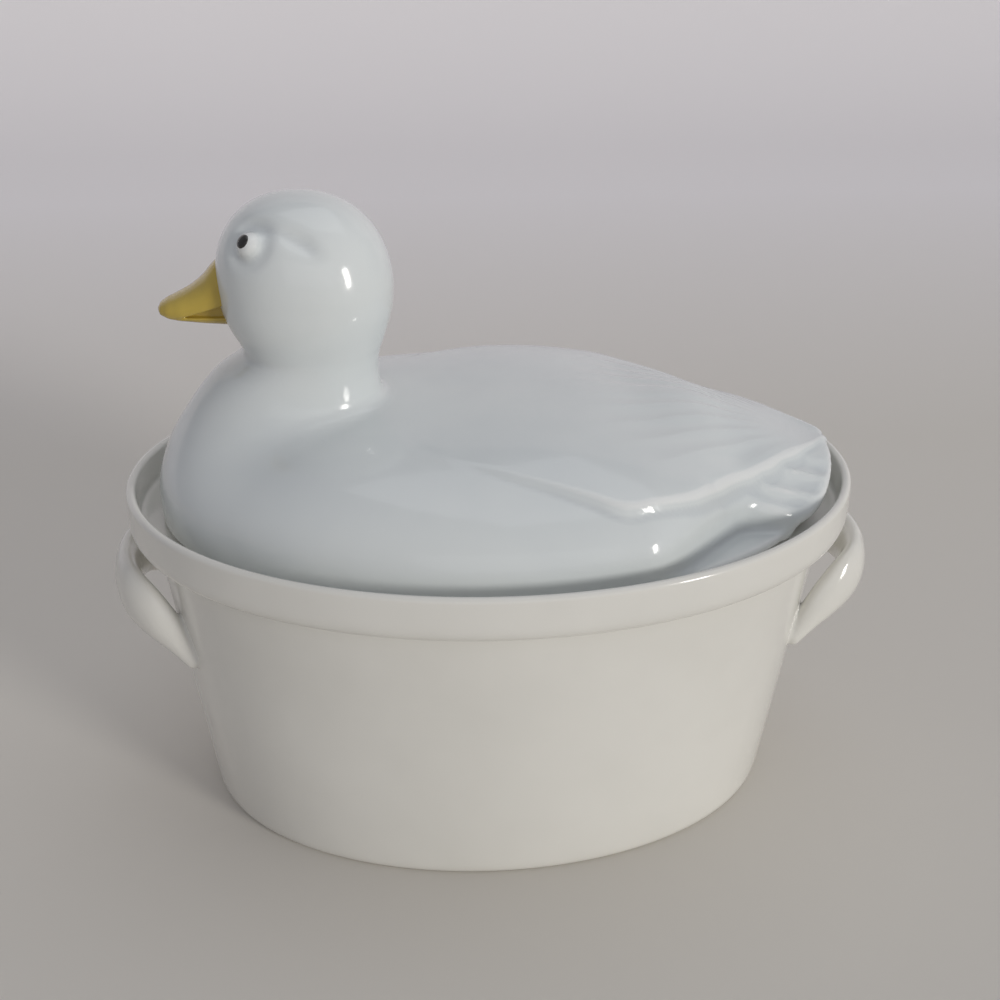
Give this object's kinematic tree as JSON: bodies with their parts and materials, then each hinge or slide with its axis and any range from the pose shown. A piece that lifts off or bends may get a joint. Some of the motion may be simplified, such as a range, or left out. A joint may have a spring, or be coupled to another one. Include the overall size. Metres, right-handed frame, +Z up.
{
  "type": "duck-shaped casserole dish",
  "caption": "Oval porcelain casserole dish with a loop handle at each end and a lift-off lid in the form of a resting duck with raised head, bill and folded wings.",
  "frame": {"origin": "middle of the dish's foot, on the surface that the dish stands on", "axes": "+Z up; the duck looks along -X, its tail points along +X; +Y is the duck's right side"},
  "size_m": [0.293, 0.2, 0.2367],
  "materials": {
    "dish_porcelain": "gloss glaze over warm cream-white porcelain",
    "duck_porcelain": "gloss glaze over cool bluish white porcelain",
    "bill_enamel": "brushed ochre yellow enamel under a gloss glaze",
    "pupil_enamel": "gloss black enamel"
  },
  "bodies": {
    "dish": {"dish": "dish_porcelain", "handle_head_end": "dish_porcelain", "handle_tail_end": "dish_porcelain"},
    "lid": {"lid": "duck_porcelain", "head": "duck_porcelain", "bill": "bill_enamel", "eye_left": "duck_porcelain", "eye_right": "duck_porcelain", "pupil_left": "pupil_enamel", "pupil_right": "pupil_enamel"}
  },
  "joints": [
    {"name": "lid_lift", "type": "slide", "parent": "dish", "child": "lid", "axis": [0, 0, 1], "range_m": [0, 0.15]}
  ]
}
